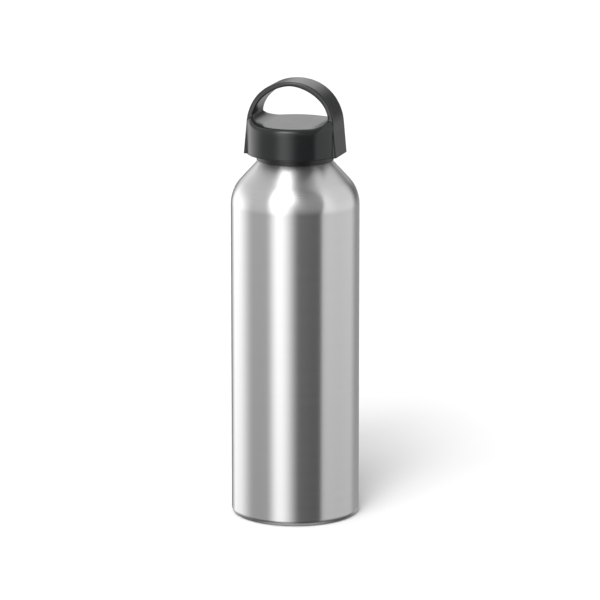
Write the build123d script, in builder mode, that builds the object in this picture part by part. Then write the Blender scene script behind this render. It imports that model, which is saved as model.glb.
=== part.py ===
from build123d import *
import math
import os

# Drinking bottle: a one-piece aluminium bottle with a rolled neck thread, and a screw
# cap made of an outer shell with a carry handle, a threaded liner and a sealing washer.
# Millimetres. +Z is up, the origin is the centre of the base on the standing plane, and
# the handle spans X, so its finger opening runs through along Y.

# ---- driving dimensions: bottle ----
body_r = 36.5
wall = 0.9
base_wall = 1.2
ring_inner_r = 29.6
ring_edge_r = 1.2
base_edge_r = 3.3
dome_edge_r = 28.0
dome_edge_z = 0.8
dome_height = 5.5
shoulder_start_z = 180.1
shoulder_r = 21.3
shoulder_angle = 42.6
neck_r = 18.7
neck_fillet = 2.5
neck_top_z = 217.4
step_height = 1.2  # the neck steps in below its curled mouth
step_inner_height = 1.0
step_inner_drop = 0.2
step_foot_r = 0.6
step_top_r = 0.3
curl_r = 1.25
mouth_z = 221.5
mouth_r = 16.2

# ---- driving dimensions: screw thread, right-handed, single start ----
lead = 4.0
thread_turns = 1.6
neck_thread_z = 210.4
neck_crest_r = 19.9
neck_flank_drop = 0.3
neck_root_half = 1.0
neck_flank_half = 0.62
neck_crest_half = 0.32
liner_thread_drop = 1.6
liner_root_half = 0.9
liner_crest_half = 0.35
liner_crest_r = 19.1
thread_root_r = 20.4
thread_bury = 0.4

# ---- driving dimensions: cap shell ----
skirt_r = 27.4
skirt_z = 209.4
floor_z = 227.2
top_wall = 2.2
cavity_r = 25.2
cavity_flat = 23.6
horn_start_z = 226.2
horn_r = 6.0
horn_sweep = 65
leg_half_x = 27.54
waist_half_x = 25.8
foot_half_y = 10.9
foot_top_z = 222.0
middle_half_y = 9.6
middle_z = 240.0
crown_half_y = 9.4
flank_x = 25.5
flank_rise = 0.3
flank_top_x = 23.6
flank_top_rise = 7.3
waist_z = 226.0
arch_top_z = 251.3
arch_power = 2.09
loop_half_x = 21.74
loop_side_z = 231.7
loop_top_z = 248.8
loop_power = 1.76
edge_round = 0.8
loop_round = 0.4
overcut = 1.0  # how far a cutting shape reaches past what it cuts

# ---- driving dimensions: liner, keys and washer ----
liner_r = 21.9
liner_z = 205.7
liner_top_wall = 1.6
liner_lead_in = 0.8
liner_lead_out = 0.7
liner_foot_round = 0.3
liner_top_round = 0.5
seat_r = 19.6
seat_z = 221.2
key_count = 6
key_start = 30  # degrees from the handle's line
key_width = 3.0
key_reach = 23.6
key_root = 21.5
key_z = 214.0
rib_width = 1.2
rib_gap = 0.1
rib_inner = 22.1
rib_outer = 26.0
rib_z = 211.5
rib_top_bury = 0.5
gasket_r = 19.3
gasket_bore_r = 14.8
gasket_lift = 0.05
gasket_thick = 1.8
gasket_edge_r = 0.4

cavity_top_z = floor_z - top_wall
liner_ceiling_z = cavity_top_z - liner_top_wall
curl_centre_r = mouth_r + curl_r
curl_centre_z = mouth_z - curl_r

os.makedirs("parts", exist_ok=True)


def arch_points(half_x, foot_z, top_z, power):
    """Points on one quarter of a superellipse, from just above its foot to its crown."""
    points = []
    for angle in (25, 45, 65, 90):
        x = half_x * max(math.cos(math.radians(angle)), 0.0) ** (2 / power)
        z = foot_z + (top_z - foot_z) * math.sin(math.radians(angle)) ** (2 / power)
        points.append((x, z))
    points[-1] = (0, top_z)
    return points


def mirrored(points):
    """The same quarter arch on the other side, from its crown down, crown left out."""
    return [(-x, z) for x, z in reversed(points[:-1])]


def helix_ridge(path_r, start_z, section):
    """A ridge swept along the screw helix; section lists (radius, half width) pairs."""
    with BuildPart() as ridge:
        with BuildLine() as path:
            Helix(lead, lead * thread_turns, path_r, center=(0, 0, start_z))
        start = Plane(origin=(path_r, 0, start_z), x_dir=(1, 0, 0), z_dir=path.line % 0)
        with BuildSketch(start):
            with BuildLine():
                upper = [(r - path_r, half) for r, half in section]
                lower = [(r - path_r, -half) for r, half in reversed(section)]
                Polyline(*upper, *lower, close=True)
            make_face()
        sweep(path=path.line, is_frenet=True)
    return ridge.part


def runs_along(edge):
    """Whether an edge of the handle runs up a leg or over the arch, not across it."""
    middle = edge.position_at(0.5)
    return middle.Z > skirt_z + edge_round / 2 and abs(middle.Y) > crown_half_y / 2


def on_loop(edge):
    """Whether an edge of the handle borders the finger opening."""
    middle = edge.position_at(0.5)
    return abs(middle.X) < loop_half_x + loop_round / 2 and middle.Z < loop_top_z + loop_round


# ---- bottle body ----
# The cone runs on from the end of the shoulder's arc to the neck.
cone_slope = 1 / math.tan(math.radians(shoulder_angle))
half_turn = math.tan(math.radians(shoulder_angle / 2))
shoulder_corner_z = shoulder_start_z + shoulder_r * half_turn
cone_top_z = shoulder_corner_z + (body_r - neck_r) * cone_slope
inner_drop = wall * half_turn
dome_r = (dome_edge_r**2 + (dome_height - dome_edge_z) ** 2) / (2 * (dome_height - dome_edge_z))
dome_centre_z = dome_height - dome_r
dome_angle = math.degrees(math.asin(dome_edge_r / dome_r))
curl_wall = math.sqrt(curl_r**2 - (curl_r - wall) ** 2)
curl_start = -90 - math.degrees(math.asin((curl_r - wall) / curl_r))

with BuildPart() as bottle_body:
    with BuildSketch(Plane.XZ):
        with BuildLine():
            CenterArc((0, dome_centre_z), dome_r, 90, -dome_angle)
            FilletPolyline(
                (dome_edge_r, dome_edge_z),
                (ring_inner_r, 0),
                (body_r, 0),
                (body_r, shoulder_corner_z),
                (neck_r, cone_top_z),
                (neck_r, neck_top_z),
                (mouth_r + wall, neck_top_z + step_height),
                (mouth_r + wall, curl_centre_z - curl_wall),
                radius=[
                    ring_edge_r,
                    base_edge_r,
                    shoulder_r,
                    neck_fillet,
                    step_foot_r,
                    step_top_r,
                ],
            )
            CenterArc((curl_centre_r, curl_centre_z), curl_r, curl_start, 180 - curl_start)
            FilletPolyline(
                (mouth_r, curl_centre_z),
                (mouth_r, neck_top_z + step_inner_height),
                (neck_r - wall, neck_top_z - step_inner_drop),
                (neck_r - wall, cone_top_z - inner_drop),
                (body_r - wall, shoulder_corner_z - inner_drop),
                (body_r - wall, base_wall),
                (ring_inner_r, base_wall),
                (dome_edge_r, dome_edge_z + base_wall),
                radius=[
                    step_foot_r,
                    step_foot_r,
                    neck_fillet + wall,
                    shoulder_r - wall,
                    base_edge_r - wall,
                    ring_edge_r,
                ],
            )
            CenterArc((0, dome_centre_z + base_wall), dome_r, 90 - dome_angle, dome_angle)
            Line((0, dome_height + base_wall), (0, dome_height))
        make_face()
    revolve(axis=Axis.Z)
    add(helix_ridge(neck_r - thread_bury, neck_thread_z, [
        (neck_r - thread_bury, neck_root_half),
        (neck_r, neck_root_half),
        (neck_crest_r - neck_flank_drop, neck_flank_half),
        (neck_crest_r, neck_crest_half),
    ]))
bottle_body.part.label = "bottle_body"

# ---- cap shell: a drum with a wide handle that grows out of its two flanks ----
outer_arch = arch_points(waist_half_x, waist_z, arch_top_z, arch_power)
loop_arch = arch_points(loop_half_x, loop_side_z, loop_top_z, loop_power)
corner_r = loop_side_z - floor_z
width_top_z = arch_top_z + overcut
side_points = [(foot_half_y, foot_top_z), (middle_half_y, middle_z), (crown_half_y, width_top_z)]

with BuildPart() as handle:
    with BuildSketch(Plane.XZ.offset(-skirt_r)):
        with BuildLine():
            Polyline(
                (-waist_half_x, waist_z),
                (-leg_half_x, skirt_z),
                (leg_half_x, skirt_z),
                (waist_half_x, waist_z),
            )
            Spline(
                (waist_half_x, waist_z),
                *outer_arch,
                *mirrored(outer_arch),
                (-waist_half_x, waist_z),
                tangents=[
                    (waist_half_x - leg_half_x, waist_z - skirt_z),
                    (waist_half_x - leg_half_x, skirt_z - waist_z),
                ],
            )
        make_face()
    extrude(amount=2 * skirt_r)
    with BuildSketch(Plane.YZ.offset(-leg_half_x - overcut)):
        with BuildLine():
            Polyline((-foot_half_y, skirt_z), (foot_half_y, skirt_z), (foot_half_y, foot_top_z))
            Spline(*side_points, tangents=[(0, 1), (0, 1)])
            Line((crown_half_y, width_top_z), (-crown_half_y, width_top_z))
            Spline(*[(-y, z) for y, z in reversed(side_points)], tangents=[(0, -1), (0, -1)])
            Line((-foot_half_y, foot_top_z), (-foot_half_y, skirt_z))
        make_face()
    extrude(amount=2 * (leg_half_x + overcut), mode=Mode.INTERSECT)
    fillet([edge for edge in handle.edges() if runs_along(edge)], edge_round)
    with BuildSketch(Plane.XZ.offset(-skirt_r - overcut)):
        with BuildLine():
            Spline(
                (loop_half_x, loop_side_z),
                *loop_arch,
                *mirrored(loop_arch),
                (-loop_half_x, loop_side_z),
                tangents=[(0, 1), (0, -1)],
            )
            Polyline(
                (-loop_half_x, loop_side_z),
                (-loop_half_x, skirt_z - overcut),
                (loop_half_x, skirt_z - overcut),
                (loop_half_x, loop_side_z),
            )
        make_face()
    extrude(amount=2 * (skirt_r + overcut), mode=Mode.SUBTRACT)
    fillet([edge for edge in handle.edges() if runs_along(edge) and on_loop(edge)], loop_round)

with BuildPart() as cap_shell:
    with BuildSketch(Plane.XZ):
        with BuildLine():
            Polyline((0, skirt_z), (skirt_r, skirt_z), (skirt_r, horn_start_z))
            horn = CenterArc((skirt_r - horn_r, horn_start_z), horn_r, 0, horn_sweep)
            Polyline(horn @ 1, (0, (horn @ 1).Y), (0, skirt_z))
        make_face()
    revolve(axis=Axis.Z)
    with BuildSketch(Plane.XZ.offset(-skirt_r - overcut)):
        with BuildLine():
            Line((corner_r - loop_half_x, floor_z), (loop_half_x - corner_r, floor_z))
            CenterArc((loop_half_x - corner_r, loop_side_z), corner_r, -90, 90)
            Polyline(
                (loop_half_x, loop_side_z),
                (loop_half_x, loop_top_z),
                (-loop_half_x, loop_top_z),
                (-loop_half_x, loop_side_z),
            )
            CenterArc((corner_r - loop_half_x, loop_side_z), corner_r, 180, 90)
        make_face()
    extrude(amount=2 * (skirt_r + overcut), mode=Mode.SUBTRACT)
    # The drum's flanks end inside the feet of the handle.
    with BuildSketch(Plane.XZ.offset(-skirt_r - overcut)):
        with BuildLine():
            Polyline(
                (-flank_x, skirt_z),
                (flank_x, skirt_z),
                (flank_x, floor_z + flank_rise),
                (flank_top_x, floor_z + flank_top_rise),
                (-flank_top_x, floor_z + flank_top_rise),
                (-flank_x, floor_z + flank_rise),
                close=True,
            )
        make_face()
    extrude(amount=2 * (skirt_r + overcut), mode=Mode.INTERSECT)
    add(handle.part)
    with BuildSketch(Plane.XY.offset(skirt_z)):
        Circle(cavity_r)
        Rectangle(2 * cavity_flat, 2 * cavity_r, mode=Mode.INTERSECT)
    extrude(amount=cavity_top_z - skirt_z, mode=Mode.SUBTRACT)
    rib_middle = (rib_inner + rib_outer) / 2
    rib_offset = key_width / 2 + rib_gap + rib_width / 2
    with BuildSketch(Plane.XY.offset(rib_z)):
        with PolarLocations(0, key_count, start_angle=key_start):
            with Locations((rib_middle, rib_offset), (rib_middle, -rib_offset)):
                Rectangle(rib_outer - rib_inner, rib_width)
    extrude(amount=cavity_top_z - rib_z + rib_top_bury)
cap_shell.part.label = "cap_shell"

# ---- cap liner: the threaded cup that screws on to the neck ----
with BuildPart() as cap_liner:
    with BuildSketch(Plane.XZ):
        with BuildLine():
            Polyline(
                (0, liner_ceiling_z),
                (seat_r, liner_ceiling_z),
                (seat_r, seat_z),
                (thread_root_r, seat_z - liner_lead_in),
                (thread_root_r, liner_z + liner_lead_in),
                (thread_root_r + liner_lead_out, liner_z),
            )
            FilletPolyline(
                (thread_root_r + liner_lead_out, liner_z),
                (liner_r, liner_z),
                (liner_r, cavity_top_z),
                (0, cavity_top_z),
                radius=[liner_foot_round, liner_top_round],
            )
            Line((0, cavity_top_z), (0, liner_ceiling_z))
        make_face()
    revolve(axis=Axis.Z)
    add(helix_ridge(thread_root_r + thread_bury, neck_thread_z - liner_thread_drop, [
        (liner_crest_r, liner_crest_half),
        (thread_root_r, liner_root_half),
        (thread_root_r + thread_bury, liner_root_half),
    ]))
    with BuildSketch(Plane.XY.offset(key_z)):
        with PolarLocations(0, key_count, start_angle=key_start):
            with Locations(((key_root + key_reach) / 2, 0)):
                Rectangle(key_reach - key_root, key_width)
    extrude(amount=cavity_top_z - key_z)
cap_liner.part.label = "cap_liner"

# ---- sealing washer: lies in the liner's seat, on the curl of the mouth ----
with BuildPart() as seal_gasket:
    with BuildSketch(Plane.XZ):
        gasket_middle_z = mouth_z + gasket_lift + gasket_thick / 2
        with Locations(((gasket_r + gasket_bore_r) / 2, gasket_middle_z)):
            RectangleRounded(gasket_r - gasket_bore_r, gasket_thick, gasket_edge_r)
    revolve(axis=Axis.Z)
seal_gasket.part.label = "seal_gasket"

for piece in (bottle_body, cap_shell, cap_liner, seal_gasket):
    print(piece.part.label, round(piece.part.volume), piece.part.bounding_box(), piece.part.is_valid)
    export_step(piece.part, f"parts/{piece.part.label}.step")
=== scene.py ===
import logging
import math
from dataclasses import dataclass, field
from enum import Enum
from typing import Callable, Sequence

import bpy
import numpy as np
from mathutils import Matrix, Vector


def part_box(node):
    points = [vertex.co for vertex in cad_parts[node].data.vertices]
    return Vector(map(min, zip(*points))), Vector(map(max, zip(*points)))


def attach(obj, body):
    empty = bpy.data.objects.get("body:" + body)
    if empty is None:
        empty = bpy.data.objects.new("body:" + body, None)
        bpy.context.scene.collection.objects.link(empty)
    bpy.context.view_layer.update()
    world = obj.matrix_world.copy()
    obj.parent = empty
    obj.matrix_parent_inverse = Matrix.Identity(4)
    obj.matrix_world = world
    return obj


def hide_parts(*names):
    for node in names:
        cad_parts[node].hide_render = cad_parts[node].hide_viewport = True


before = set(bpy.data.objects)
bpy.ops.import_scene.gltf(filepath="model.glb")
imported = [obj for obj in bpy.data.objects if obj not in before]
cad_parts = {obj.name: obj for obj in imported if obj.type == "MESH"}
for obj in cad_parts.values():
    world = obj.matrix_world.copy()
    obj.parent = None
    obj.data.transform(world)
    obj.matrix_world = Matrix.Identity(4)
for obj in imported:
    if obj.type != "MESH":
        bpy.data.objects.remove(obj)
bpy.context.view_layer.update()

log = logging.getLogger("drinking_bottle")

MM = 0.001

Array = np.ndarray
Link = "Channel | float | tuple | bpy.types.NodeSocket"


# --------------------------------------------------------------------------- shader maths


class Channel:
    """A shader socket that takes part in arithmetic; each operator adds its own node."""

    def __init__(self, sheet: "Sheet", socket: bpy.types.NodeSocket) -> None:
        """Wraps one output socket of a sheet of nodes."""
        self.sheet = sheet
        self.socket = socket

    def _math(self, operation: str, *values: Link) -> "Channel":
        """Adds one Math node and returns its result."""
        inputs = dict(enumerate(values))
        return self.sheet.node("ShaderNodeMath", {"operation": operation}, inputs)

    def __add__(self, other: Link) -> "Channel":
        """Sum."""
        return self._math("ADD", self, other)

    __radd__ = __add__

    def __mul__(self, other: Link) -> "Channel":
        """Product."""
        return self._math("MULTIPLY", self, other)

    __rmul__ = __mul__

    def __sub__(self, other: Link) -> "Channel":
        """Difference."""
        return self._math("SUBTRACT", self, other)

    def __rsub__(self, other: Link) -> "Channel":
        """Difference with the operands the other way round."""
        return self._math("SUBTRACT", other, self)

    def __truediv__(self, other: Link) -> "Channel":
        """Quotient."""
        return self._math("DIVIDE", self, other)

    def __rtruediv__(self, other: Link) -> "Channel":
        """Quotient with the operands the other way round."""
        return self._math("DIVIDE", other, self)

    def __neg__(self) -> "Channel":
        """Negative."""
        return self._math("MULTIPLY", self, -1.0)

    def root(self) -> "Channel":
        """Square root."""
        return self._math("SQRT", self)

    def bearing_of(self, other: "Channel") -> "Channel":
        """Angle, in radians, whose tangent is this value over the other."""
        return self._math("ARCTAN2", self, other)

    def rise(self, start: float, end: float) -> "Channel":
        """Smooth step.

        Args:
            start: the value at which the step begins.
            end: the value at which it is complete; below start, the step falls.

        Returns:
            A channel from 0 to 1, or from 1 to 0 when end is below start.
        """
        low, high = min(start, end), max(start, end)
        ends = (0.0, 1.0) if end > start else (1.0, 0.0)
        values = {"Value": self, "From Min": low, "From Max": high, "To Min": ends[0], "To Max": ends[1]}
        return self.sheet.node("ShaderNodeMapRange", {"interpolation_type": "SMOOTHSTEP"}, values)


class Sheet:
    """The node sheet of one material or world."""

    def __init__(self, tree: bpy.types.NodeTree) -> None:
        """Clears the tree and keeps it."""
        self.tree = tree
        tree.nodes.clear()

    def node(
        self,
        kind: str,
        settings: dict[str, object] | None = None,
        inputs: dict[str | int, Link] | None = None,
        output: str | int = 0,
    ) -> Channel:
        """Adds a node.

        Args:
            kind: the node's type.
            settings: attributes, set before its sockets.
            inputs: values or links for its sockets, by name or index.
            output: the output socket to return.

        Returns:
            The chosen output as a channel.
        """
        made = self.tree.nodes.new(kind)
        for key, value in (settings or {}).items():
            setattr(made, key, value)
        for key, value in (inputs or {}).items():
            socket = made.inputs[key]
            if isinstance(value, Channel):
                self.tree.links.new(value.socket, socket)
            else:
                socket.default_value = value
        return Channel(self, made.outputs[output]) if made.outputs else Channel(self, None)

    def place(self) -> tuple[Channel, Channel, Channel]:
        """The position on the object, in metres, as three channels."""
        spot = self.node("ShaderNodeTexCoord", output="Object")
        parts = self.node("ShaderNodeSeparateXYZ", inputs={0: spot}).socket.node
        return tuple(Channel(self, parts.outputs[i]) for i in range(3))

    def vector(self, x: Link, y: Link, z: Link) -> Channel:
        """Joins three channels into a vector."""
        return self.node("ShaderNodeCombineXYZ", inputs={0: x, 1: y, 2: z})

    def noise(self, where: Channel, scale: float, detail: float, roughness: float = 0.5) -> Channel:
        """Fractal noise.

        Args:
            where: the vector it is read at.
            scale: features in each unit of that vector.
            detail: how many finer layers are added.
            roughness: how strong the finer layers are.

        Returns:
            The noise value, about 0.5 on average.
        """
        values = {"Vector": where, "Scale": scale, "Detail": detail, "Roughness": roughness}
        return self.node("ShaderNodeTexNoise", inputs=values)

    def mix(self, factor: Link, first: Link, second: Link) -> Channel:
        """Blends two colours by a factor from 0 to 1."""
        values = {"Factor": factor, 6: first, 7: second}
        return self.node("ShaderNodeMix", {"data_type": "RGBA"}, values, output=2)

    def bump(self, height: Channel, depth: float, strength: float = 1.0) -> Channel:
        """A surface normal from a height channel.

        Args:
            height: the height, from 0 to 1.
            depth: what a height of 1 stands for, in metres.
            strength: how much of it is used.

        Returns:
            The normal.
        """
        values = {"Height": height, "Distance": depth, "Strength": strength}
        return self.node("ShaderNodeBump", inputs=values)

    def attribute(self, name: str) -> Channel:
        """A number stored on the mesh's points."""
        return self.node("ShaderNodeAttribute", {"attribute_name": name}, output="Fac")


def grey(level: float, warmth: float = 0.0) -> tuple[float, float, float, float]:
    """A near-neutral colour.

    Args:
        level: its brightness, linear.
        warmth: how much redder than blue it is, as a share of the level.

    Returns:
        The colour with an alpha of 1.
    """
    return (level * (1 + warmth), level, level * (1 - warmth), 1.0)


def new_sheet(name: str) -> tuple[bpy.types.Material, Sheet]:
    """Makes an empty node material and its sheet."""
    material = bpy.data.materials.new(name)
    material.use_nodes = True
    return material, Sheet(material.node_tree)


def surface(sheet: Sheet, settings: dict[str, Link]) -> None:
    """Ends a sheet with one Principled shader that has these socket values."""
    shader = sheet.node("ShaderNodeBsdfPrincipled", inputs=settings)
    sheet.node("ShaderNodeOutputMaterial", inputs={"Surface": shader})


# --------------------------------------------------------------------------- finishes


@dataclass(frozen=True)
class BrushedAluminium:
    """Turned and finely brushed aluminium, with a food lacquer on the inside and painted shade at its
    foot.
    """

    name: str = "brushed_aluminium"
    tone: float = 0.62
    roughness: float = 0.24
    cone_roughness: float = 0.1
    cone_starts_z: float = 0.184
    cone_ends_z: float = 0.2
    anisotropy: float = 0.9
    quarter_turn: float = 0.25
    lacquer: tuple[float, float, float, float] = (0.62, 0.52, 0.33, 1.0)
    lacquer_dulling: float = 0.12
    lacquer_cover: float = 0.45
    slant: float = 0.7
    grain_around: float = 1.6
    grain_per_metre: float = 2600.0
    band_around: float = 0.5
    band_per_metre: float = 260.0
    # Noise scales and heights of the rub marks and painted shade at the foot.
    foot_shade_around: float = 900.0
    foot_shade_per_metre: float = 2500.0
    foot_shade_top_z: float = 0.0022
    foot_shade_full_z: float = 0.0004
    scuff_roughness: float = 0.25
    grain_depth: float = 0.000004

    def material(self) -> bpy.types.Material:
        """Builds the material.

        Returns:
            A metal whose grain runs round the bottle, with rub marks and painted shade at its foot.
        """
        made, sheet = new_sheet(self.name)
        x, y, z = sheet.place()
        radius = (x * x + y * y + 1e-8).root()
        along = z - radius * self.slant
        grain = sheet.vector(
            x / radius * self.grain_around,
            y / radius * self.grain_around,
            along * self.grain_per_metre,
        )
        fine = sheet.noise(grain, 1.0, 3.0, 0.65)
        band = sheet.vector(
            x / radius * self.band_around,
            y / radius * self.band_around,
            along * self.band_per_metre,
        )
        broad = sheet.noise(band, 1.0, 2.0)
        # Rub marks on the lowest 2 mm of the foot. Their darker colour is painted shade where the base
        # meets the floor, and their roughness is the rubbing.
        foot_spot = sheet.vector(x * self.foot_shade_around, y * self.foot_shade_around, z * self.foot_shade_per_metre)
        foot_rub_and_shade = z.rise(self.foot_shade_top_z, self.foot_shade_full_z) * sheet.noise(foot_spot, 1.0, 4.0, 0.7)
        inside = sheet.attribute("lining")
        bare = sheet.mix(fine, grey(self.tone * 0.94), grey(self.tone * 1.04))
        # Painted shade: the foot is darkened towards the floor.
        bare = sheet.mix(foot_rub_and_shade, bare, grey(self.tone * 0.62))
        cone = self.cone_roughness * z.rise(self.cone_starts_z, self.cone_ends_z)
        brushed = self.roughness - 0.04 + 0.05 * fine + 0.03 * broad + cone
        surface(sheet, {
            "Base Color": sheet.mix(inside, bare, self.lacquer),
            "Metallic": 1.0 - self.lacquer_cover * inside,
            "Roughness": brushed + self.scuff_roughness * foot_rub_and_shade + self.lacquer_dulling * inside,
            "Normal": sheet.bump(fine + foot_rub_and_shade * 2.0, self.grain_depth, 0.5),
            "Anisotropic": self.anisotropy,
            "Anisotropic Rotation": self.quarter_turn,
        })
        return made


@dataclass(frozen=True)
class MouldedPlastic:
    """Injection-moulded polypropylene with a fine satin texture."""

    name: str
    tone: float
    roughness: float = 0.21
    refraction: float = 1.49
    texture_per_metre: float = 2600.0
    texture_depth: float = 0.000012
    cloud_per_metre: float = 90.0
    wear_per_metre: float = 260.0

    def material(self) -> bpy.types.Material:
        """Builds the material.

        Returns:
            A satin plastic, a little paler and duller along its worn edges.
        """
        made, sheet = new_sheet(self.name)
        spot = sheet.vector(*sheet.place())
        texture = sheet.noise(spot, self.texture_per_metre, 2.0, 0.6)
        cloud = sheet.noise(spot, self.cloud_per_metre, 3.0)
        wear = sheet.attribute("edge") * sheet.noise(spot, self.wear_per_metre, 3.0).rise(0.42, 0.62)
        plain = sheet.mix(cloud, grey(self.tone * 0.9, -0.08), grey(self.tone * 1.12, -0.06))
        surface(sheet, {
            "Base Color": sheet.mix(wear * 0.5, plain, grey(self.tone * 2.2, -0.04)),
            "Roughness": self.roughness - 0.03 + 0.06 * cloud + 0.05 * wear,
            "Normal": sheet.bump(texture, self.texture_depth, 0.35),
            "IOR": self.refraction,
        })
        return made


@dataclass(frozen=True)
class SiliconeRubber:
    """Translucent white food-grade silicone."""

    name: str = "silicone_rubber"
    dusty: tuple[float, float, float, float] = (0.74, 0.74, 0.71, 1.0)
    clean: tuple[float, float, float, float] = (0.84, 0.84, 0.82, 1.0)
    dust_per_metre: float = 700.0
    dust_depth: float = 0.00002

    def material(self) -> bpy.types.Material:
        """Builds the material.

        Returns:
            A matt, faintly dusty rubber.
        """
        made, sheet = new_sheet(self.name)
        dust = sheet.noise(sheet.vector(*sheet.place()), self.dust_per_metre, 4.0, 0.6)
        surface(sheet, {
            "Base Color": sheet.mix(dust, self.dusty, self.clean),
            "Roughness": 0.42 + 0.16 * dust,
            "Normal": sheet.bump(dust, self.dust_depth, 0.3),
            "Subsurface Weight": 0.25,
            "Subsurface Scale": 0.002,
        })
        return made


@dataclass(frozen=True)
class FloorPaint:
    """Matt pale paint of the studio floor."""

    tone: float = 0.69
    mottle_per_metre: float = 3.0

    def material(self) -> bpy.types.Material:
        """Builds the material.

        Returns:
            A matt paint with a barely visible unevenness.
        """
        made, sheet = new_sheet("studio_floor")
        mottle = sheet.noise(sheet.vector(*sheet.place()), self.mottle_per_metre, 2.0)
        surface(sheet, {
            "Base Color": sheet.mix(mottle, grey(self.tone * 0.995), grey(self.tone)),
            "Roughness": 0.8,
            "Specular IOR Level": 0.1,
        })
        return made


# --------------------------------------------------------------------------- outlines


@dataclass(frozen=True)
class Corner:
    """One corner of an outline, in millimetres, with the radius that rounds it."""

    across: float
    up: float
    radius: float = 0.0


@dataclass
class Outline:
    """A path in a plane, with the normal of the surface that it stands for at each point."""

    points: list[tuple[float, float]] = field(default_factory=list)
    normals: list[tuple[float, float]] = field(default_factory=list)

    def add(self, point: Array, normal: Array) -> None:
        """Adds one point and its normal."""
        self.points.append((float(point[0]), float(point[1])))
        self.normals.append((float(normal[0]), float(normal[1])))

    def arc(
        self,
        centre: tuple[float, float],
        radius: float,
        start: float,
        sweep: float,
        step: float = 4.0,
    ) -> None:
        """Adds an arc.

        Args:
            centre: its centre.
            radius: its radius.
            start: the bearing of its first point from the centre, in degrees.
            sweep: how far it turns, in degrees, positive anticlockwise.
            step: the largest turn between its points.
        """
        count = max(2, math.ceil(abs(sweep) / step))
        side = 1.0 if sweep > 0 else -1.0
        for i in range(count + 1):
            turn = math.radians(start + sweep * i / count)
            out = np.array([math.cos(turn), math.sin(turn)])
            self.add(np.array(centre) + radius * out, side * out)

    def run(self, corners: Sequence[Corner], step: float = 4.0) -> None:
        """Adds straight runs through corners, each rounded by its own radius.

        Args:
            corners: where the path turns, first and last points included.
            step: the largest turn between points of a rounded corner.
        """
        spots = [np.array([c.across, c.up]) for c in corners]
        heading = _unit(spots[1] - spots[0])
        self.add(spots[0], _right_of(heading))
        for i in range(1, len(corners) - 1):
            here, radius = spots[i], corners[i].radius
            to_last, to_next = _unit(spots[i - 1] - here), _unit(spots[i + 1] - here)
            half = math.acos(float(np.clip(to_last @ to_next, -1, 1))) / 2
            turn = 180.0 - 2 * math.degrees(half)
            left = _cross(-to_last, to_next) > 0
            centre = here + _unit(to_last + to_next) * radius / math.sin(half)
            first = here + to_last * radius / math.tan(half) - centre
            start = math.degrees(math.atan2(first[1], first[0]))
            self.arc(tuple(centre), radius, start, turn if left else -turn, step)
        heading = _unit(spots[-1] - spots[-2])
        self.add(spots[-1], _right_of(heading))

    def refine(self, low: float, high: float, step: float) -> None:
        """Adds points on the upright stretches between two heights, at most a step apart."""
        points, normals = [self.points[0]], [self.normals[0]]
        for i in range(1, len(self.points)):
            start, end = np.array(self.points[i - 1]), np.array(self.points[i])
            length = float(np.linalg.norm(end - start))
            middle = (start[1] + end[1]) / 2
            if low <= middle <= high and length > step:
                count = math.ceil(length / step)
                for k in range(1, count):
                    share = k / count
                    points.append(tuple(start + (end - start) * share))
                    normals.append(self.normals[i])
            points.append(self.points[i])
            normals.append(self.normals[i])
        self.points, self.normals = points, normals


def _unit(vector: Array) -> Array:
    """The vector at length 1."""
    return vector / np.linalg.norm(vector)


def _right_of(heading: Array) -> Array:
    """The direction to the right of a heading."""
    return np.array([heading[1], -heading[0]])


def _cross(first: Array, second: Array) -> float:
    """The turn from one plane vector to another, positive anticlockwise."""
    return float(first[0] * second[1] - first[1] * second[0])


def make_mesh(
    name: str,
    points: Array,
    faces: Sequence[Sequence[int]],
    normals: Array,
    numbers: dict[str, Array],
) -> bpy.types.Object:
    """Makes a smooth mesh object from points in millimetres.

    Args:
        name: the piece's name.
        points: one row for each point.
        faces: corner indices, anticlockwise from outside.
        normals: the surface's own normal at each point.
        numbers: named values stored on the points.

    Returns:
        The object, at the origin, in metres.
    """
    mesh = bpy.data.meshes.new(name)
    mesh.from_pydata((points * MM).tolist(), [], [list(map(int, f)) for f in faces])
    for key, values in numbers.items():
        store = mesh.attributes.new(key, "FLOAT", "POINT")
        store.data.foreach_set("value", np.asarray(values, np.float32))
    mesh.polygons.foreach_set("use_smooth", np.ones(len(mesh.polygons), bool))
    mesh.update()
    mesh.normals_split_custom_set_from_vertices(normals.tolist())
    made = bpy.data.objects.new(name, mesh)
    bpy.context.scene.collection.objects.link(made)
    return made


def dress(piece: bpy.types.Object, material: bpy.types.Material) -> None:
    """Gives a piece one material in place of what it has."""
    piece.data.materials.clear()
    piece.data.materials.append(material)


# --------------------------------------------------------------------------- the bottle


@dataclass(frozen=True)
class ScrewThread:
    """A single-start right-hand thread rolled into the neck, in millimetres."""

    foot_z: float
    lead: float = 4.0
    turns: float = 1.6
    height: float = 1.2
    half_width: float = 1.15
    fade_turns: float = 0.12

    def lift(self, bearing: Array, up: Array) -> Array:
        """How far the wall stands out.

        Args:
            bearing: angles round the neck, in radians.
            up: heights.

        Returns:
            The ridge's height at each place.
        """
        share = np.mod(bearing, 2 * math.pi) / (2 * math.pi)
        best = np.zeros(np.broadcast(bearing, up).shape)
        for lap in range(math.ceil(self.turns)):
            turn = share + lap
            away = np.abs(up - self.foot_z - self.lead * turn) / self.half_width
            ridge = np.where(away < 1, (0.5 + 0.5 * np.cos(math.pi * np.minimum(away, 1))) ** 0.75, 0)
            ends = np.clip(np.minimum(turn, self.turns - turn) / self.fade_turns, 0, 1)
            best = np.maximum(best, self.height * ridge * ends * ends * (3 - 2 * ends))
        return best


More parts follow.
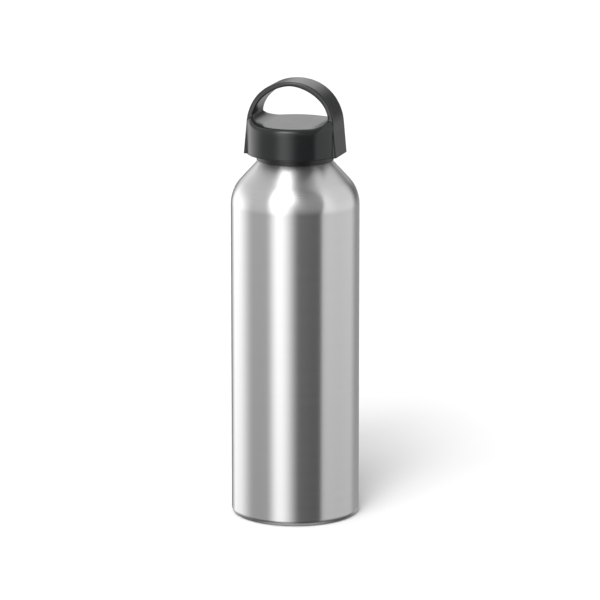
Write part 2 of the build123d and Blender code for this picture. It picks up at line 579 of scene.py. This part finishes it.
@dataclass
class Bottle:
    """The drawn aluminium bottle: base, barrel, shoulder, threaded neck and curled mouth."""

    body_r: float
    mouth_z: float
    wall: float = 0.9
    base_wall: float = 1.2
    ring_inner_r: float = 29.6
    base_edge_r: float = 3.3
    dome_edge_r: float = 28.0
    dome_edge_z: float = 0.8
    dome_height: float = 5.5
    shoulder_start_z: float = 180.1
    shoulder_r: float = 21.3
    shoulder_angle: float = 42.6
    neck_r: float = 18.7
    neck_fillet: float = 2.5
    neck_top_z: float = 217.4
    ring_edge_r: float = 1.2
    step_height: float = 1.2
    step_inner_height: float = 1.0
    step_inner_drop: float = 0.2
    step_foot_r: float = 0.6
    step_top_r: float = 0.3
    curl_r: float = 1.25
    mouth_r: float = 16.2
    thread_z: float = 210.4
    segments: int = 240
    neck_cell: float = 0.2
    hair: float = 0.01

    @classmethod
    def from_frame(cls) -> "Bottle":
        """Takes the barrel's radius and the mouth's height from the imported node."""
        _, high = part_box("bottle_body")
        return cls(body_r=high.x / MM, mouth_z=high.z / MM)

    def outline(self) -> tuple[Outline, int]:
        """The half section of the wall, outside first.

        Returns:
            The outline, from the base's centre round the mouth and back inside, and the
            index of the first point that is inside.
        """
        half_turn = math.tan(math.radians(self.shoulder_angle / 2))
        corner_z = self.shoulder_start_z + self.shoulder_r * half_turn
        cone_top_z = corner_z + (self.body_r - self.neck_r) / math.tan(math.radians(self.shoulder_angle))
        drop = self.wall * half_turn
        rise = self.dome_height - self.dome_edge_z
        dome_r = (self.dome_edge_r**2 + rise**2) / (2 * rise)
        dome_turn = math.degrees(math.asin(self.dome_edge_r / dome_r))
        dome_z = self.dome_height - dome_r
        curl_z = self.mouth_z - self.curl_r
        curl_across = self.mouth_r + self.curl_r
        tuck = self.curl_r - self.wall
        curl_start = -90 - math.degrees(math.asin(tuck / self.curl_r))
        curl_foot_z = curl_z - math.sqrt(self.curl_r**2 - tuck**2)

        path = Outline()
        path.arc((0, dome_z), dome_r, 90, -dome_turn, 1.5)
        path.run([
            Corner(self.dome_edge_r, self.dome_edge_z),
            Corner(self.ring_inner_r, 0, self.ring_edge_r),
            Corner(self.body_r, 0, self.base_edge_r),
            Corner(self.body_r, corner_z, self.shoulder_r),
            Corner(self.neck_r, cone_top_z, self.neck_fillet),
            Corner(self.neck_r, self.neck_top_z, self.step_foot_r),
            Corner(self.mouth_r + self.wall, self.neck_top_z + self.step_height, self.step_top_r),
            Corner(self.mouth_r + self.wall, curl_foot_z),
        ], 2.0)
        path.arc((curl_across, curl_z), self.curl_r, curl_start, 180 - curl_start, 8.0)
        path.refine(cone_top_z, self.neck_top_z, self.neck_cell)
        first_inside = len(path.points)
        path.run([
            Corner(self.mouth_r, curl_z),
            Corner(self.mouth_r, self.neck_top_z + self.step_inner_height, self.step_foot_r),
            Corner(self.neck_r - self.wall, self.neck_top_z - self.step_inner_drop, self.step_foot_r),
            Corner(self.neck_r - self.wall, cone_top_z - drop, self.neck_fillet + self.wall),
            Corner(self.body_r - self.wall, corner_z - drop, self.shoulder_r - self.wall),
            Corner(self.body_r - self.wall, self.base_wall, self.base_edge_r - self.wall),
            Corner(self.ring_inner_r, self.base_wall, self.ring_edge_r),
            Corner(self.dome_edge_r, self.dome_edge_z + self.base_wall),
        ], 3.0)
        path.refine(cone_top_z, self.neck_top_z, self.neck_cell)
        path.arc((0, dome_z + self.base_wall), dome_r, 90 - dome_turn, dome_turn, 1.5)
        return path, first_inside

    def build(self) -> bpy.types.Object:
        """Spins the outline round the axis and rolls the thread into the neck.

        Returns:
            The bottle, one closed mesh.
        """
        path, first_inside = self.outline()
        spots, ways = np.array(path.points), np.array(path.normals)
        turn = np.arange(self.segments) * 2 * math.pi / self.segments
        thread = ScrewThread(self.thread_z)
        across, up = spots[1:-1, :1], spots[1:-1, 1:]
        out, rise = ways[1:-1, :1], ways[1:-1, 1:]
        hair = self.hair
        on_neck = (across > self.neck_r - self.wall - hair) & (across < self.neck_r + hair)
        on_neck = on_neck & (np.abs(rise) < hair)
        bearing, angle = turn[None, :], hair / self.neck_r
        lift = np.where(on_neck, thread.lift(bearing, up), 0.0)
        slope_up = (thread.lift(bearing, up + hair) - thread.lift(bearing, up - hair)) / (2 * hair)
        slope_round = (thread.lift(bearing + angle, up) - thread.lift(bearing - angle, up)) / (2 * hair)
        slope_up, slope_round = np.where(on_neck, slope_up, 0), np.where(on_neck, slope_round, 0)

        radius = across + lift
        rings = np.stack([radius * np.cos(turn), radius * np.sin(turn), up + 0 * turn], -1)
        side = np.sign(out) * on_neck
        n_out, n_up, n_round = out + 0 * turn, rise - side * slope_up, -side * slope_round
        normals = np.stack([
            n_out * np.cos(turn) - n_round * np.sin(turn),
            n_out * np.sin(turn) + n_round * np.cos(turn),
            n_up,
        ], -1)
        normals /= np.linalg.norm(normals, axis=-1, keepdims=True)

        count, laps = len(rings), self.segments
        points = np.vstack([rings.reshape(-1, 3), [[0, 0, spots[0, 1]], [0, 0, spots[-1, 1]]]])
        normals = np.vstack([normals.reshape(-1, 3), [[0, 0, -1], [0, 0, 1]]])
        row = np.arange(count - 1)[:, None] * laps
        here = np.arange(laps)[None, :]
        after = (here + 1) % laps
        corners = [row + here, row + after, row + laps + after, row + laps + here]
        quads = np.stack(corners, -1).reshape(-1, 4)
        low, high = count * laps, count * laps + 1
        last = (count - 1) * laps
        fans = [(low, (i + 1) % laps, i) for i in range(laps)]
        fans += [(high, last + i, last + (i + 1) % laps) for i in range(laps)]
        inside = np.zeros(len(points))
        inside[(first_inside - 1) * laps:low] = 1.0
        inside[high] = 1.0
        return make_mesh("brushed_bottle", points, [*quads.tolist(), *fans], normals, {"lining": inside})


# --------------------------------------------------------------------------- moulded forms


def outline_distance(across: Array, up: Array, outline: Array) -> Array:
    """Signed distance from places to a closed outline.

    Args:
        across: first coordinates.
        up: second coordinates.
        outline: its corners, one row each.

    Returns:
        The distance, negative inside.
    """
    across, up = np.broadcast_arrays(across, up)
    nearest = np.full(across.shape, 1e9)
    inside = np.zeros(across.shape, bool)
    for (x0, z0), (x1, z1) in zip(outline, np.roll(outline, -1, axis=0)):
        dx, dz = x1 - x0, z1 - z0
        share = np.clip(((across - x0) * dx + (up - z0) * dz) / (dx * dx + dz * dz), 0, 1)
        gap = (across - x0 - share * dx) ** 2 + (up - z0 - share * dz) ** 2
        np.minimum(nearest, gap, out=nearest)
        if z0 != z1:
            spans = (z0 > up) != (z1 > up)
            inside ^= spans & (across < x0 + (up - z0) / dz * dx)
    return np.where(inside, -1.0, 1.0) * np.sqrt(nearest)


def meet(first: Array, second: Array, radius: float | Array, power: float = 2.0) -> Array:
    """The overlap of two forms, with the edge between them rounded.

    Args:
        first: signed distance to one form.
        second: signed distance to the other.
        radius: how far from the edge the rounding starts.
        power: 2 for a circular rounding; higher leaves it tighter in the middle.

    Returns:
        The signed distance to the overlap.
    """
    over = np.maximum(first + radius, 0) ** power + np.maximum(second + radius, 0) ** power
    return np.minimum(np.maximum(first, second), -radius) + over ** (1 / power)


def join(first: Array, second: Array, radius: float) -> Array:
    """Two forms as one, with the corner between them filled to a radius."""
    return -meet(-first, -second, radius)


@dataclass
class MouldedForm:
    """A closed form given by its signed distance, in millimetres, turned into a mesh."""

    distance: Callable[[Array, Array, Array], Array]
    low: tuple[float, float, float]
    high: tuple[float, float, float]
    cell: float = 0.5
    settling_steps: int = 5
    settling_reach: float = 0.02
    normal_reach: float = 0.12
    wear_gain: float = 0.7
    wear_start: float = 0.25

    def _slopes(self, points: Array, reach: float) -> tuple[Array, Array, Array]:
        """Distance, gradient and curvature at points, by differences over a short reach."""
        middle = self.distance(*points.T)
        slope, bend = [], np.zeros(len(points))
        for axis in range(3):
            offset = np.zeros(3)
            offset[axis] = reach
            ahead = self.distance(*(points + offset).T)
            behind = self.distance(*(points - offset).T)
            slope.append((ahead - behind) / (2 * reach))
            bend += (ahead + behind - 2 * middle) / reach**2
        return middle, np.stack(slope, -1), bend

    def mesh(self, name: str) -> bpy.types.Object:
        """Lays a net of quads over the form.

        Args:
            name: the piece's name.

        Returns:
            The piece, with its worn edges stored as the number "edge".
        """
        counts = [math.ceil((h - l) / self.cell) + 1 for l, h in zip(self.low, self.high)]
        grids = [l + self.cell * np.arange(n) for l, n in zip(self.low, counts)]
        x, y, z = grids[0][:, None, None], grids[1][None, :, None], grids[2][None, None, :]
        solid = self.distance(x, y, z) < 0
        cells = [n - 1 for n in counts]
        total = np.zeros(cells, int)
        for i in (0, 1):
            for j in (0, 1):
                for k in (0, 1):
                    total += solid[i:i + cells[0], j:j + cells[1], k:k + cells[2]]
        mixed = (total > 0) & (total < 8)
        number = np.full(cells, -1)
        number[mixed] = np.arange(int(mixed.sum()))
        points = np.array(self.low) + self.cell * (np.argwhere(mixed) + 0.5)
        for _ in range(self.settling_steps):
            gap, slope, _ = self._slopes(points, self.settling_reach)
            steep = np.maximum((slope**2).sum(1), 0.05)
            step = -slope * (gap / steep)[:, None]
            length = np.linalg.norm(step, axis=1, keepdims=True)
            points += step * np.minimum(1, self.cell / np.maximum(length, 1e-9))
        _, slope, bend = self._slopes(points, self.normal_reach)
        normals = slope / np.maximum(np.linalg.norm(slope, axis=1, keepdims=True), 1e-9)
        quads = [self._quads(solid, number, axis) for axis in range(3)]
        edge = np.clip(bend * self.wear_gain - self.wear_start, 0, 1)
        return make_mesh(name, points, np.vstack(quads).tolist(), normals, {"edge": edge})

    @staticmethod
    def _quads(solid: Array, number: Array, axis: int) -> Array:
        """The quads that cross the grid's edges along one axis."""
        solid, number = np.moveaxis(solid, axis, 0), np.moveaxis(number, axis, 0)
        before, after = solid[:-1, 1:-1, 1:-1], solid[1:, 1:-1, 1:-1]
        ring = [number[:, :-1, :-1], number[:, 1:, :-1], number[:, 1:, 1:], number[:, :-1, 1:]]
        quads = np.stack([part[before != after] for part in ring], -1)
        flip = after[before != after]
        if axis == 1:
            flip = ~flip
        quads[flip] = quads[flip][:, ::-1]
        return quads


# --------------------------------------------------------------------------- the cap


def quarter_arch(half_x: float, foot_z: float, top_z: float, power: float, count: int = 24) -> Array:
    """Points on the right half of a superellipse arch, from its foot to its crown."""
    turn = np.linspace(0, math.pi / 2, count)
    across = half_x * np.cos(turn).clip(0) ** (2 / power)
    up = foot_z + (top_z - foot_z) * np.sin(turn) ** (2 / power)
    return np.stack([across, up], -1)


def both_sides(right: Array) -> Array:
    """A right half outline, from bottom to top, closed by its mirror image."""
    left = right[::-1] * np.array([-1, 1])
    keep = np.abs(left[:, 0]) > 1e-6
    return np.vstack([right, left[keep]])


@dataclass
class CapShell:
    """The outer cap: a drum with a flat top and a wide handle moulded across it."""

    leg_half_x: float
    skirt_r: float
    skirt_z: float
    arch_top_z: float
    floor_z: float = 227.2
    top_wall: float = 2.2
    waist_half_x: float = 25.8
    waist_z: float = 226.0
    arch_power: float = 2.09
    loop_half_x: float = 21.74
    corner_reach: float = 8.0
    loop_side_z: float = 231.7
    loop_top_z: float = 248.8
    loop_power: float = 1.76
    horn_start_z: float = 226.2
    horn_r: float = 6.0
    foot_half_y: float = 10.9
    crown_half_y: float = 9.4
    outer_round: float = 1.0
    rim_round: float = 4.5
    rim_power: float = 3.4
    rim_top_z: float = 229.0
    inner_round: float = 1.1
    inner_start_z: float = 236.0
    cavity_r: float = 25.2
    cavity_flat: float = 23.6
    rib_pairs: int = 6
    rib_offset: float = 2.2
    rib_width: float = 1.2
    rib_inner: float = 22.1
    rib_z: float = 211.5
    rib_bury: float = 0.8
    rib_top_bury: float = 1.0
    rib_round: float = 0.3
    skirt_round: float = 0.35
    cavity_round: float = 1.0
    cavity_top_round: float = 0.4
    drum_inset: float = 0.5
    foot_top_z: float = 222.0
    taper_end_drop: float = 10.0
    waist_step: float = 0.25
    waist_drop: float = 2.5
    leg_overrun: float = 2.0

    @classmethod
    def from_frame(cls) -> "CapShell":
        """Takes the skirt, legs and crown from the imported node."""
        low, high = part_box("cap_shell")
        return cls(
            leg_half_x=high.x / MM,
            skirt_r=high.y / MM,
            skirt_z=low.z / MM,
            arch_top_z=high.z / MM,
        )

    def __post_init__(self) -> None:
        """Works out the handle's outer and inner outlines once."""
        legs = np.array([
            [self.leg_half_x, self.skirt_z - self.leg_overrun],
            [self.waist_half_x + self.waist_step, self.waist_z - self.waist_drop],
        ])
        arch = quarter_arch(self.waist_half_x, self.waist_z, self.arch_top_z, self.arch_power)
        self.outer = both_sides(np.vstack([legs, arch[1:]]))
        corner_r = self.loop_side_z - self.floor_z
        turn = np.radians(np.linspace(-90, 0, 10))
        across = self.loop_half_x - self.corner_reach * (1 - np.cos(turn))
        corner = np.stack([across, self.loop_side_z + corner_r * np.sin(turn)], -1)
        loop = quarter_arch(self.loop_half_x, self.loop_side_z, self.loop_top_z, self.loop_power)
        self.loop = both_sides(np.vstack([corner, loop[1:]]))

    def half_width(self, z: Array) -> Array:
        """Half the handle's width at a height: broad feet that narrow to the crown."""
        taper = self.arch_top_z - self.taper_end_drop - self.foot_top_z
        share = np.clip((z - self.foot_top_z) / taper, 0, 1)
        ease = share * share * (3 - 2 * share)
        return self.foot_half_y + (self.crown_half_y - self.foot_half_y) * ease

    def distance(self, x: Array, y: Array, z: Array) -> Array:
        """Signed distance to the shell's surface."""
        radius = np.sqrt(x * x + y * y)
        bulge_x = radius - (self.skirt_r - self.horn_r)
        bulge_z = np.maximum(z - self.horn_start_z, 0)
        dome = np.sqrt(np.maximum(bulge_x, 0) ** 2 + bulge_z**2) - self.horn_r
        dome = np.where(bulge_x > 0, dome, np.maximum(bulge_z - self.horn_r, bulge_x - self.horn_r))
        arch = outline_distance(x, z, self.outer)
        handle = meet(arch, np.abs(y) - self.half_width(z), self.outer_round)
        drum = np.maximum(dome, arch + self.drum_inset)
        whole = join(drum, handle, self.skirt_round)
        climb = np.clip((z - self.rim_top_z) / (self.inner_start_z - self.rim_top_z), 0, 1)
        lip = self.rim_round + (self.inner_round - self.rim_round) * climb * (2 - climb)
        whole = meet(whole, -outline_distance(x, z, self.loop), lip, self.rim_power)
        whole = meet(whole, self.skirt_z - z, self.skirt_round)
        cavity = meet(radius - self.cavity_r, np.abs(x) - self.cavity_flat, self.cavity_round)
        cavity = meet(cavity, z - (self.floor_z - self.top_wall), self.cavity_top_round)
        whole = meet(whole, -cavity, self.skirt_round)
        return join(whole, self._ribs(x, y, z, radius), self.rib_round)

    def _ribs(self, x: Array, y: Array, z: Array, radius: Array) -> Array:
        """Signed distance to the pairs of ribs that hold the liner's keys."""
        sector = 2 * math.pi / self.rib_pairs
        bearing = np.arctan2(y, x) - sector / 2
        bearing = bearing - sector * np.round(bearing / sector)
        along, aside = radius * np.cos(bearing), np.abs(radius * np.sin(bearing))
        slab = np.abs(aside - self.rib_offset) - self.rib_width / 2
        slab = meet(slab, self.rib_inner - along, self.rib_round)
        slab = np.maximum(slab, radius - (self.cavity_r + self.rib_bury))
        slab = meet(slab, self.rib_z - z, self.rib_round)
        return np.maximum(slab, z - (self.floor_z - self.rib_top_bury))

    def build(self) -> bpy.types.Object:
        """Moulds the shell.

        Returns:
            The shell, one closed mesh.
        """
        edge = 1.2
        form = MouldedForm(
            self.distance,
            (-self.leg_half_x - edge, -self.skirt_r - edge, self.skirt_z - edge),
            (self.leg_half_x + edge, self.skirt_r + edge, self.arch_top_z + edge),
        )
        return form.mesh("moulded_cap_shell")


# --------------------------------------------------------------------------- assembly


class Part(Enum):
    """The record's material slots."""

    BODY = "brushed_aluminium"
    SHELL = "charcoal_plastic"
    LINER = "black_plastic"
    WASHER = "silicone"


class DrinkingBottle:
    """The whole object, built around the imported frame."""

    def __init__(self) -> None:
        """Takes its sizes from the frame."""
        self.bottle = Bottle.from_frame()
        self.shell = CapShell.from_frame()

    def build(self) -> None:
        """Builds and dresses every piece, and ties the two new pieces to their bodies."""
        body = self.bottle.build()
        self._stand_in(body, "bottle_body", "bottle", Part.BODY, BrushedAluminium().material())
        shell = self.shell.build()
        charcoal = MouldedPlastic("charcoal_polypropylene", 0.0065).material()
        self._stand_in(shell, "cap_shell", "cap", Part.SHELL, charcoal)
        black = MouldedPlastic("black_polypropylene", 0.005, 0.33).material()
        self._dress_packed("cap_liner", Part.LINER, black)
        self._dress_packed("seal_gasket", Part.WASHER, SiliconeRubber().material())

    @staticmethod
    def _dress_packed(node: str, part: Part, material: bpy.types.Material) -> None:
        """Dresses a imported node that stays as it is."""
        dress(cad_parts[node], material)
        log.info("%s: %s, dressed as %s", node, part.value, material.name)

    @staticmethod
    def _stand_in(
        piece: bpy.types.Object, node: str, body: str, part: Part, material: bpy.types.Material
    ) -> None:
        """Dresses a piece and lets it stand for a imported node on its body."""
        dress(piece, material)
        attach(piece, body)
        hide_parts(node)
        log.info("%s: %d faces, stands for %s", piece.name, len(piece.data.polygons), node)


# --------------------------------------------------------------------------- studio


@dataclass(frozen=True)
class LightCard:
    """A soft panel of light far away, given by its bearings seen from the bottle.

    Bearings are in degrees anticlockwise seen from above, from the camera's direction. A
    card may lean: its edges then move by so many degrees for each degree of height.
    """

    start: float
    end: float
    level: float
    start_soft: float = 4.0
    end_soft: float = 4.0
    low: float = -90.0
    low_soft: float = 6.0
    high: float = 90.0
    high_soft: float = 6.0
    lean: float = 0.0

    def glow(self, bearing: Channel, height: Channel) -> Channel:
        """Its light in each direction.

        Args:
            bearing: the direction's bearing, in degrees, from the middle of the front.
            height: the direction's angle above the horizon, in degrees.

        Returns:
            The light as a channel.
        """
        across = bearing - height * self.lean if self.lean else bearing
        glow = self.level * across.rise(self.start - self.start_soft, self.start + self.start_soft)
        glow = glow * across.rise(self.end + self.end_soft, self.end - self.end_soft)
        if self.low > -90:
            glow = glow * height.rise(self.low - self.low_soft, self.low + self.low_soft)
        if self.high < 90:
            glow = glow * height.rise(self.high + self.high_soft, self.high - self.high_soft)
        return glow


CARDS = (
    # Left of the barrel: its bright edge, then a broad soft fill.
    LightCard(-146, -100, 1.35, 10, 20, high=12, high_soft=16),
    LightCard(-158, -40, 0.64, 12, 14),
    # Front: the tall highlight left of the middle, and a faint fill beside it.
    LightCard(-43, -11, 2.2, 12, 17, lean=-0.18),
    LightCard(-11, 30, 0.04, 10, 15),
    # Right: a flat panel with a hard edge, a little brighter below the horizon.
    LightCard(50.5, 132, 0.8, 0.8, 12, lean=0.26),
    LightCard(50.5, 132, 0.25, 0.8, 12, high=0, high_soft=10, lean=0.26),
    LightCard(132, 179, 0.38, 12, 1, high=-5, high_soft=5),
    # Behind: a pale wall above the horizon and a pale floor below it.
    LightCard(158, 190, 0.92, 10, 1, low=6.5, low_soft=3),
    LightCard(-190, -158, 0.92, 1, 10, low=6.5, low_soft=3),
    LightCard(135, 190, 1.0, 8, 1, high=-18, high_soft=3),
    LightCard(-190, -140, 1.0, 1, 8, high=-18, high_soft=3),
    # Above: the box that lights the shoulder, and two dim fills beside it.
    LightCard(-46, -8, 4.4, 14, 22, low=28, low_soft=9, high=62, high_soft=8),
    LightCard(-12, 75, 0.26, 10, 14, low=-2, high=55, high_soft=12),
    LightCard(-14, 12, 0.3, 8, 14, low=12, low_soft=8, high=62, high_soft=10),
)


@dataclass
class Studio:
    """Camera, pale floor and soft light; angles in degrees, lengths in metres."""

    bearing: float = 17.18
    reach: float = 2.2
    height: float = 0.625
    aim_z: float = 0.12405
    aim_side: float = 0.0027
    lens: float = 237.6
    sensor: float = 36.0
    nearest: float = 0.05
    farthest: float = 60.0
    floor_r: float = 14.0
    floor_rings: int = 24
    floor_laps: int = 96
    room_level: float = 0.145
    dim_share: float = 0.1
    dim_height: float = -34.0
    full_height: float = -2.0
    bounce_level: float = 0.5
    bounce_starts: float = -50.0
    bounce_full: float = -66.0
    backdrop_level: float = 1.2
    key_level: float = 2.0
    key_bearing: float = -12.0
    key_height: float = 43.0
    key_spread: float = 22.0
    key_distance: float = 2.0

    def set_camera(self) -> None:
        """Places the camera on its bearing, aimed at the middle of the bottle."""
        turn = math.radians(self.bearing)
        side = Vector((math.cos(turn), math.sin(turn), 0.0))
        data = bpy.data.cameras.new("studio_camera")
        data.lens, data.sensor_width = self.lens, self.sensor
        data.clip_start, data.clip_end = self.nearest, self.farthest
        camera = bpy.data.objects.new("studio_camera", data)
        camera.location = (self.reach * math.sin(turn), -self.reach * math.cos(turn), self.height)
        target = Vector((0, 0, self.aim_z)) + side * self.aim_side
        camera.rotation_mode = "QUATERNION"
        camera.rotation_quaternion = (target - camera.location).to_track_quat("-Z", "Y")
        bpy.context.scene.collection.objects.link(camera)
        bpy.context.scene.camera = camera

    def lay_floor(self) -> None:
        """Lays a wide round floor that the bottle stands on."""
        rings, laps = self.floor_rings, self.floor_laps
        turns = [2 * math.pi * k / laps for k in range(laps)]
        spots = [(0.0, 0.0, 0.0)]
        for i in range(1, rings + 1):
            radius = self.floor_r * (i / rings) ** 2
            spots += [(radius * math.cos(turn), radius * math.sin(turn), 0.0) for turn in turns]
        faces = [(0, 1 + k, 1 + (k + 1) % laps) for k in range(laps)]
        for i in range(rings - 1):
            low, high = 1 + i * laps, 1 + (i + 1) * laps
            faces += [
                (low + k, high + k, high + (k + 1) % laps, low + (k + 1) % laps) for k in range(laps)
            ]
        mesh = bpy.data.meshes.new("studio_floor")
        mesh.from_pydata(spots, [], faces)
        floor = bpy.data.objects.new("studio_floor", mesh)
        floor.visible_glossy = False
        bpy.context.scene.collection.objects.link(floor)
        dress(floor, FloorPaint().material())

    def light(self) -> None:
        """Hangs the cards that the metal mirrors, and the key light that casts the shadow."""
        world = bpy.data.worlds.new("studio_light")
        world.use_nodes = True
        bpy.context.scene.world = world
        sheet = Sheet(world.node_tree)
        way = sheet.node("ShaderNodeTexCoord", output="Generated")
        turned = {"Vector": way, "Angle": -math.radians(self.bearing)}
        way = sheet.node("ShaderNodeVectorRotate", {"rotation_type": "Z_AXIS"}, turned)
        parts = sheet.node("ShaderNodeSeparateXYZ", inputs={0: way}).socket.node
        x, y, z = (Channel(sheet, parts.outputs[i]) for i in range(3))
        bearing = x.bearing_of(-y) * math.degrees(1)
        height = z.bearing_of((x * x + y * y).root()) * math.degrees(1)
        glow = self.room_level
        for card in CARDS:
            glow = glow + card.glow(bearing, height)
        dimmed = self.dim_share + (1 - self.dim_share) * height.rise(self.dim_height, self.full_height)
        bounce = self.bounce_level * height.rise(self.bounce_starts, self.bounce_full)
        glow = glow * dimmed + bounce
        seen = sheet.node("ShaderNodeLightPath", output="Is Camera Ray")
        level = glow + (self.backdrop_level - glow) * seen
        shader = sheet.node("ShaderNodeBackground", inputs={"Color": grey(1.0), "Strength": level})
        sheet.node("ShaderNodeOutputWorld", inputs={"Surface": shader})

        data = bpy.data.lights.new("key_light", "SUN")
        data.energy = self.key_level
        data.angle = math.radians(self.key_spread)
        lamp = bpy.data.objects.new("key_light", data)
        turn, rise = math.radians(self.bearing + self.key_bearing), math.radians(self.key_height)
        way = Vector((math.sin(turn) * math.cos(rise), -math.cos(turn) * math.cos(rise), math.sin(rise)))
        lamp.location = way * self.key_distance
        lamp.rotation_mode = "QUATERNION"
        lamp.rotation_quaternion = (-way).to_track_quat("-Z", "Y")
        lamp.visible_glossy = False
        bpy.context.scene.collection.objects.link(lamp)

    def set_view(self) -> None:
        """Shows colours plainly, with no film curve."""
        view = bpy.context.scene.view_settings
        view.view_transform = "Standard"
        view.look = "None"
        view.exposure, view.gamma = 0.0, 1.0


def main() -> None:
    """Builds the object and its studio, in order."""
    logging.basicConfig(level=logging.INFO, format="%(name)s: %(message)s")
    studio = Studio()
    studio.set_camera()
    DrinkingBottle().build()
    studio.lay_floor()
    studio.light()
    studio.set_view()


if __name__ == "__main__":
    main()
